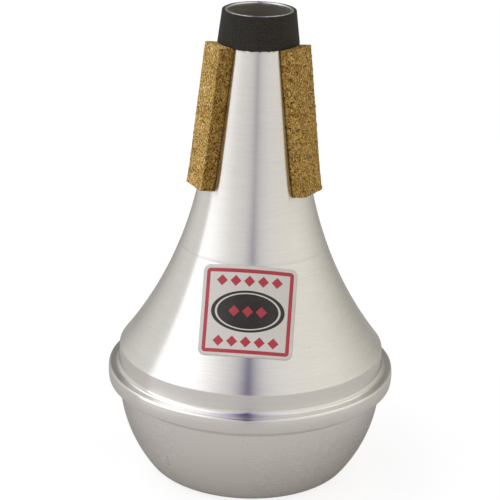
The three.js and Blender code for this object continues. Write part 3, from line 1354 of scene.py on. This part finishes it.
@dataclass
class CorkStrips(SubAssembly):
    """The three cork strips and the glue that holds them."""

    relief: ReliefTree | None = None
    bead: BeadTree | None = None
    length: float = 51.3 * MM
    width: float = 11.7 * MM
    thickness: float = 4.1 * MM
    edge: float = 0.22 * MM
    grain_step: float = 0.26 * MM
    granule: float = 0.75 * MM
    relief_depth: float = 0.11 * MM
    crumble_depth: float = 0.3 * MM
    bead_radius: float = 0.14 * MM
    bead_step: float = 0.35 * MM
    bead_sides: int = 7
    bead_inset: float = 0.1 * MM
    bead_sink: float = 0.035
    bead_stops: tuple[int, int] = (60, 16)
    grain_seed: float = 0.37
    glue_seed: float = 0.21
    seat_rounds: int = 4
    edge_stops: tuple = (0.0, 0.3, 0.65, 1.0)
    wear_reach: float = 0.352 * MM
    # How far from the metal the cork is darker.
    darker_near_metal_depth: float = 0.5 * MM
    # The last three numbers of each strip are painted light and shade on its face, long sides and upper
    # end. The left strip is painted lighter, as if lit from the left.
    strips: tuple[Strip, ...] = (
        Strip("cork_front_right", 60, -0.26 * MM, 0.7 * MM, 0.95, 0.9, 0.85),
        Strip("cork_rear", 180, -0.2 * MM, 0.2 * MM, 1.0, 0.8, 1.0),
        Strip("cork_front_left", 300, -0.28 * MM, -0.35 * MM, 1.22, 0.71, 1.6),
    )

    def build(self) -> None:
        """Builds each strip with its own grain, and its glue."""
        cork = Cork("pressed_cork_finish", roughness=0.75).material(self.effects)
        glue = Glue("contact_glue_finish", roughness=0.35).material(self.effects)
        for number, strip in enumerate(self.strips, start=1):
            piece = self.relief.grown(
                strip.node.replace("cork", "cork_strip"),
                self._strip_mesh(strip),
                Granule=self.granule,
                Relief=self.relief_depth,
                Crumble=self.crumble_depth,
                Seed=self.grain_seed * number,
                Material=cork,
            )
            self.keep(piece, Slot.CORK, strip.node)
            piece = self.bead.grown(
                strip.node.replace("cork", "cork_glue"),
                self._footprint_mesh(strip),
                Radius=self.bead_radius,
                Step=self.bead_step,
                Sides=self.bead_sides,
                Seed=self.glue_seed * number,
                Material=glue,
            )
            self.keep(piece, None)

    def _laid(self, strip: Strip, across: np.ndarray, along: np.ndarray, up: np.ndarray) -> list:
        """Lays a block's own places on the cone as a strip.

        Args:
            strip: The strip.
            across: Metres from the strip's middle line.
            along: Metres down the strip.
            up: 0 on the metal's side and 1 on the outside.

        Returns:
            The points as X, Y and Z.
        """
        mute = self.mute
        station = mute.sleeve_setback + mute.sleeve_length + mute.fit_gap + strip.slide + along
        slopes = np.array([mute.slope(s) for s in station])
        outer = np.array([mute.cone_point(s, mute.fit_gap + self.thickness) for s in station])
        metal = np.array([mute.cone_point(s, 0.0) for s in station])
        offset = np.full_like(across, mute.fit_gap)
        for _ in range(self.seat_rounds):
            radius = metal[:, 0] + offset * np.cos(slopes)
            offset = mute.fit_gap - (np.hypot(across, radius) - radius) * np.cos(slopes)
        inner = metal + np.stack([np.cos(slopes), np.sin(slopes)], -1) * offset[:, None]
        line = inner + (outer - inner) * up[:, None]
        front = np.stack([across, -line[:, 0], line[:, 1]], -1)
        return (front @ np.array(Matrix.Rotation(math.radians(strip.degrees), 3, "Z")).T).tolist()

    def _stops(self, size: float) -> np.ndarray:
        """Grid lines along one side of the block, closer together at its two edges.

        Args:
            size: The side's length.

        Returns:
            How far along it each line is.
        """
        near = self.edge * np.array(self.edge_stops)
        steps = max(2, round((size - 2 * self.edge) / self.grain_step))
        middle = np.linspace(self.edge, size - self.edge, steps + 1)[1:-1]
        return np.concatenate([near, middle, size - near[::-1]])

    def _strip_mesh(self, strip: Strip) -> bpy.types.Mesh:
        """A block's six faces as one closed grid with rounded edges, laid on the cone.

        Args:
            strip: The strip.

        Returns:
            The mesh, with the nearness to an edge, its painted light and shade, and how much darker it is
            near the metal, as attributes.
        """
        sizes = np.array([self.width, self.length + strip.extra, self.thickness])
        stops = [self._stops(size) for size in sizes]
        numbers: dict[tuple, int] = {}
        points, faces = [], []

        def number(key: tuple[int, int, int]) -> int:
            """The point at a grid place, added when it is first used.

            Args:
                key: Its places along the three sides.

            Returns:
                Its number.
            """
            if key not in numbers:
                numbers[key] = len(points)
                points.append([stops[axis][key[axis]] for axis in range(3)])
            return numbers[key]

        for axis in range(3):
            first, second = (axis + 1) % 3, (axis + 2) % 3
            for end in (0, len(stops[axis]) - 1):
                for a, b in np.ndindex(len(stops[first]) - 1, len(stops[second]) - 1):
                    face = []
                    for da, db in ((0, 0), (1, 0), (1, 1), (0, 1)):
                        key = [0, 0, 0]
                        key[axis], key[first], key[second] = end, a + da, b + db
                        face.append(number(tuple(key)))
                    faces.append(face if end else face[::-1])
        block = np.array(points)
        core = np.clip(block, self.edge, sizes - self.edge)
        away = block - core
        reach = np.linalg.norm(away, axis=1, keepdims=True)
        away = away / np.maximum(reach, TINY**2) * self.edge
        block = core + away
        inset = np.sort(np.minimum(block, sizes - block), axis=1)
        wear = np.clip(1 - inset[:, 1] / self.wear_reach, 0, 1)
        side = np.clip(np.abs(away)[:, 0] / self.edge, 0, 1) ** 2
        top = np.clip(-away[:, 1] / self.edge, 0, 1) ** 2
        # Painted light and shade of each face, as a factor on the cork's colour.
        light = strip.face + (strip.side - strip.face) * side + (strip.top - strip.face) * top
        # Darker near the metal, up to a depth.
        soaked = np.clip(1 - block[:, 2] / self.darker_near_metal_depth, 0, 1)
        laid = self._laid(strip, block[:, 0] - self.width / 2, block[:, 1], block[:, 2] / self.thickness)
        return new_mesh("cork_block", laid, [], faces, edge=wear, cut=light, soaked=soaked)

    def _footprint_mesh(self, strip: Strip) -> bpy.types.Mesh:
        """The closed line where a strip meets the metal, which the bead follows.

        Args:
            strip: The strip.

        Returns:
            The line as a mesh of edges.
        """
        half = self.width / 2 - self.bead_inset
        down, over = self.bead_stops
        along = np.linspace(self.bead_inset, self.length + strip.extra - self.bead_inset, down)
        across = np.linspace(-half, half, over)[1:-1]
        loop = np.array([
            *((-half, s) for s in along),
            *((u, along[-1]) for u in across),
            *((half, s) for s in along[::-1]),
            *((u, along[0]) for u in across[::-1]),
        ])
        count = len(loop)
        laid = self._laid(strip, loop[:, 0], loop[:, 1], np.full(count, -self.bead_sink))
        return new_mesh("cork_footprint", laid, [(k, (k + 1) % count) for k in range(count)], [])


@dataclass
class Label(SubAssembly):
    """The sticker on the front of the flare."""

    width: float = 33.0 * MM
    height: float = 32.0 * MM
    corner: float = 2.5 * MM
    film: float = 0.16 * MM
    rolled_share: float = 0.45
    sink: float = 0.03 * MM
    distance: float = 102.5 * MM
    tilt: float = math.radians(1.5)
    corner_steps: int = 12
    side_steps: int = 30
    rings: int = 26
    press_rounds: int = 12
    press_pace: float = 0.9

    def build(self) -> None:
        """Presses a rounded rectangle onto the flare and prints it."""
        outline = self._outline()
        count = len(outline)
        shares = [ring / self.rings for ring in range(1, self.rings + 1)]
        flat = [(0.0, 0.0), *((x * share, y * share) for share in shares for x, y in outline)]
        layers = ((flat, self.film), (outline, self.film * self.rolled_share), (outline, -self.sink))
        vertices = [point for places, offset in layers for point in self._pressed(places, offset)]
        faces = [(0, 1 + k, 1 + (k + 1) % count) for k in range(count)]
        starts = [1 + ring * count for ring in range(self.rings + 2)]
        for low, high in zip(starts, starts[1:]):
            for k in range(count):
                after = (k + 1) % count
                faces.append((low + k, high + k, high + after, low + after))
        faces.append(tuple(starts[-1] + k for k in reversed(range(count))))
        mesh = new_mesh("label_film", vertices, [], faces)
        places = flat + outline + outline
        layer = mesh.uv_layers.new(name="label")
        for loop in mesh.loops:
            x, y = places[loop.vertex_index]
            layer.data[loop.index].uv = (x / MM, y / MM)
        mesh.materials.append(PrintedFilm("printed_film_finish", roughness=0.38).material(self.effects))
        mesh.polygons.foreach_set("use_smooth", [True] * (len(faces) - 1) + [False])
        self.keep(new_object("label_sticker", mesh), Slot.FILM, "label")

    def _outline(self) -> Line:
        """The rounded rectangle's points, counterclockwise."""
        half_width, half_height = self.width / 2 - self.corner, self.height / 2 - self.corner
        sides = ((1, 1), (-1, 1), (-1, -1), (1, -1))

        def rounding(quarter: int, turn: float) -> tuple[float, float]:
            """A point on one corner's arc, by quarter turns from the right."""
            across, up = sides[quarter % 4]
            cosine, sine = math.cos(turn * math.pi / 2), math.sin(turn * math.pi / 2)
            return across * half_width + self.corner * cosine, up * half_height + self.corner * sine

        points = []
        for quarter in range(4):
            for step in range(self.corner_steps + 1):
                points.append(rounding(quarter, quarter + step / self.corner_steps))
            (x, y), (end_x, end_y) = points[-1], rounding(quarter + 1, quarter + 1)
            for step in range(1, self.side_steps):
                share = step / self.side_steps
                points.append((x + (end_x - x) * share, y + (end_y - y) * share))
        return points

    def _pressed(self, flat: Line, offset: float) -> list[Point]:
        """Presses flat places through the label's own direction onto the flare.

        Args:
            flat: Metres across and up from the label's centre.
            offset: How far off the metal they end.

        Returns:
            The points on the flare.
        """
        mute = self.mute
        slope = mute.slope(self.distance)
        centre = mute.cone_point(self.distance, 0.0)
        across = Vector((1, 0, 0))
        up = Vector((0, math.sin(slope), math.cos(slope)))
        inward = Vector((0, math.cos(slope), -math.sin(slope)))
        start = Vector((0, -centre[0], centre[1]))
        cosine, sine = math.cos(-self.tilt), math.sin(-self.tilt)
        pressed = []
        for x, y in flat:
            base = start + across * (x * cosine - y * sine) + up * (x * sine + y * cosine)
            depth = 0.0
            for _ in range(self.press_rounds):
                at = base + inward * depth
                away = mute.flare_centre[0] - math.hypot(at.x, at.y)
                gap = mute.flare_radius - math.hypot(away, mute.flare_centre[1] - at.z)
                depth += (gap - offset) * self.press_pace
            pressed.append(tuple(base + inward * depth))
        return pressed


@dataclass(frozen=True)
class Panel:
    """One soft panel of the studio's tent, or a dark card in front of it where its levels are below 0.

    Directions are degrees round the object from the camera, to the right. A panel comes in over
    its left fade and goes out over its right one. With height its left edge leans to the left, and
    its right edge spreads to the right.
    """

    left: float
    left_fade: float
    right: float
    right_fade: float
    low_level: float
    high_level: float
    lean: float = 0.0
    spread: float = 0.0
    tint: tuple[float, float, float] = (1.0, 1.0, 1.0)


@dataclass
class Studio:
    """The camera, with its sensor in millimetres, the floor and a tent of soft light."""

    picture_pixels: float = 500.0
    focal_pixels: float = 1821.7
    sensor_width: float = 36.0
    camera_distance: float = 620.6 * MM
    camera_height: float = 310.3 * MM
    camera_turn: float = math.radians(2.45)
    camera_pitch: float = math.radians(20.123)
    camera_roll: float = math.radians(1.451)
    camera_yaw: float = math.radians(-0.106)
    floor_radius: float = 450 * MM
    floor_steps: int = 128
    floor_drop: float = 0.1 * MM
    floor_tone: tuple = (0.62, 0.588, 0.545, 1.0)
    shadow_tone: tuple = (0.3, 0.3, 0.3, 1.0)
    floor_glow: float = 0.8
    white: tuple = (1.0, 1.0, 1.0, 1.0)
    metal_share: float = 0.1
    tent_level: tuple = (0.27, 0.26055, 0.216)
    panels: tuple = (
        Panel(-230, 150, 20, 60, 0.52, 0.51, tint=(1.0, 0.99, 1.01)),
        Panel(20, 60, 74, 106, 0.545, 0.54, tint=(1.02, 0.965, 0.885)),
        Panel(-94.9, 3.5, -91.6, 54, 0.54, 0.88, lean=0.176, spread=0.3, tint=(0.985, 0.99, 1.07)),
        Panel(-115, 8, -103, 7, -0.05, -0.06, lean=0.176, spread=-0.176),
    )
    panel_heights: tuple[float, float] = (5.0, 45.0)
    back_fade: float = 45.0
    slot_turn: float = math.radians(0.5)
    slot_lean: float = 0.039
    slot_depths: tuple = ((-20.0, 0.42), (0.0, 0.52), (22.0, 0.62), (48.0, 1.14))
    slot_widths: tuple = ((5.0, 15.0), (22.0, 10.5), (45.0, 5.1), (50.0, 5.1), (66.0, 15.0))
    slot_tint: tuple = (1.0, 1.03, 0.87)
    overhead: tuple[float, float] = (52.0, 75.0)
    overhead_levels: tuple = ((-0.6, 2.6), (0.1, 1.3))
    overhead_reach: float = 22.0
    underfoot: tuple[float, float] = (-12.0, -30.0)
    underfoot_level: tuple = (0.5, 0.4825, 0.4, 1.0)

    def build(self) -> None:
        """Sets up everything round the object."""
        self._camera()
        self._floor()
        self._tent()
        bpy.context.scene.view_settings.view_transform = "Standard"

    def _camera(self) -> None:
        """Places the camera where the photograph was taken from."""
        data = bpy.data.cameras.new("camera")
        data.sensor_width = self.sensor_width
        data.lens = self.focal_pixels / self.picture_pixels * self.sensor_width
        data.clip_start = 10 * MM
        data.clip_end = 100.0
        camera = new_object("camera", data)
        camera.location = (
            self.camera_distance * math.sin(self.camera_turn),
            -self.camera_distance * math.cos(self.camera_turn),
            self.camera_height,
        )
        turns = (math.pi / 2 - self.camera_pitch, 0.0, self.camera_turn - self.camera_yaw)
        aimed = Euler(turns).to_matrix() @ Matrix.Rotation(self.camera_roll, 3, "Z")
        camera.rotation_euler = aimed.to_euler()
        bpy.context.scene.camera = camera

    def _white_share(self, kit: Kit) -> tuple[Wire, Wire]:
        """What sees white all round the object.


        Returns:
            1 for the camera, and that with a small share for a reflection in metal.
        """
        path = kit.node("ShaderNodeLightPath").outputs
        rays = ("Is Camera Ray", "Is Transmission Ray", "Is Glossy Ray")
        camera, glass, metal = (Wire(kit, path[ray]) for ray in rays)
        seen = kit.math("MAXIMUM", camera, glass)
        return seen, kit.math("MAXIMUM", seen, metal * self.metal_share)

    def _floor(self) -> None:
        """A pale round floor. The camera sees it white, with the object's shadow on it."""
        turns = [math.tau * step / self.floor_steps for step in range(self.floor_steps)]
        radius = self.floor_radius
        ring = [(math.cos(turn) * radius, math.sin(turn) * radius, -self.floor_drop) for turn in turns]
        mesh = new_mesh("studio_floor", ring, [], [tuple(range(self.floor_steps))])
        material = bpy.data.materials.new("studio_floor_finish")
        kit = Kit(cleared(material))
        seen, shown = self._white_share(kit)
        plain = kit.wire("ShaderNodeBsdfDiffuse", {"Color": self.floor_tone})
        faint = kit.wire("ShaderNodeBsdfDiffuse", {"Color": self.shadow_tone})
        glow = kit.wire("ShaderNodeEmission", {"Strength": self.floor_glow})
        white = kit.wire("ShaderNodeAddShader", {0: faint, 1: glow})
        surface = kit.wire("ShaderNodeMixShader", {0: shown, 1: plain, 2: white})
        under = seen * kit.wire("ShaderNodeNewGeometry", output="Backfacing")
        clear = kit.wire("ShaderNodeBsdfTransparent")
        surface = kit.wire("ShaderNodeMixShader", {0: under, 1: surface, 2: clear})
        kit.node("ShaderNodeOutputMaterial", {0: surface})
        mesh.materials.append(material)
        new_object("studio_floor", mesh)

    def _tent(self) -> None:
        """The tent as the world: soft panels round the object, light overhead, a slot for the camera.

        The camera sees it white. Metal sees its panels and its slot, and a share of the same white.
        """
        world = bpy.data.worlds.new("studio_tent")
        bpy.context.scene.world = world
        kit = Kit(cleared(world))
        x, y, z = kit.parts(kit.wire("ShaderNodeTexCoord", output="Generated"))
        heading = kit.math("DEGREES", kit.math("ARCTAN2", x, y * -1.0)) - math.degrees(self.camera_turn)
        height = kit.math("DEGREES", kit.math("ARCSINE", z))
        light: Value = self.tent_level
        for panel in self.panels:
            light = light + panel.tint * self._panel_share(kit, panel, heading, height)
        lamp = self._graded(kit, x, self.overhead_levels)
        raised = height + kit.ramp(y, 0.0, 0.6, 0.0, self.overhead_reach)
        light = kit.layered(light, (kit.ramp(raised, *self.overhead), kit.joined(lamp, lamp, lamp)))
        dark = self.slot_tint * self._slot_depth(kit, kit.joined(x, y, z), height)
        light = light * kit.math("MAXIMUM", (1.0, 1.0, 1.0) - dark, (0.0, 0.0, 0.0))
        _, shown = self._white_share(kit)
        below = (kit.ramp(height, *self.underfoot), self.underfoot_level)
        light = kit.layered(light, below, (shown, self.white))
        kit.node("ShaderNodeOutputWorld", {0: kit.wire("ShaderNodeBackground", {"Color": light})})

    def _panel_share(self, kit: Kit, panel: Panel, heading: Wire, height: Wire) -> Wire:
        """How much light one panel adds in a direction.

        Args:
            kit: The world's kit.
            panel: The panel.
            heading: Degrees round the object from the camera.
            height: Degrees above the horizon.

        Returns:
            The light's level.
        """
        leaning = height * panel.lean + heading
        rise = kit.ramp(leaning, panel.left, panel.left + panel.left_fade)
        spreading = height * -panel.spread + heading
        fall = kit.ramp(spreading, panel.right, panel.right + panel.right_fade, 1.0, 0.0)
        behind = kit.ramp(heading, -180.0, self.back_fade - 180.0)
        level = kit.ramp(height, *self.panel_heights, panel.low_level, panel.high_level)
        return rise * fall * (behind * level)

    def _slot_depth(self, kit: Kit, way: Wire, height: Wire) -> Wire:
        """How dark the slot is, which runs up past the camera, over the object and down behind it.

        Args:
            kit: The world's kit.
            way: The direction.
            height: Degrees above the horizon.

        Returns:
            The share of the light that it takes.
        """
        turn = self.camera_turn + self.slot_turn
        across = kit.math("DOT_PRODUCT", way, (math.cos(turn), math.sin(turn), self.slot_lean))
        off = kit.math("DEGREES", kit.math("ARCSINE", abs(across)))
        spread = off / self._graded(kit, height, self.slot_widths)
        return self._graded(kit, height, self.slot_depths) * kit.math("EXPONENT", spread * -1.0)

    def _graded(self, kit: Kit, at: Wire, steps: tuple) -> Wire:
        """A value that runs smoothly from one step to the next.

        Args:
            kit: The world's kit.
            at: What it depends on.
            steps: Pairs of that and of the value there.

        Returns:
            The value.
        """
        value: Value = steps[0][1]
        for (start, low), (end, high) in zip(steps, steps[1:]):
            value = value + kit.ramp(at, start, end, 0.0, high - low)
        return value


def main() -> None:
    """Builds the studio and the mute's sub-assemblies, and reports them."""
    logging.basicConfig(level=logging.INFO, format="%(name)s: %(message)s")
    Studio().build()
    mute, effects, turning = Mute(), Effects(), TurningTree()
    assemblies = (
        SpunShells(mute, effects, turning=turning),
        EndSleeve(mute, effects, turning=turning),
        CorkStrips(mute, effects, relief=ReliefTree(), bead=BeadTree()),
        Label(mute, effects),
    )
    for assembly in assemblies:
        assembly.build()
        LOG.info("%s: %d pieces", type(assembly).__name__, len(assembly.pieces))


if __name__ == "__main__":
    main()
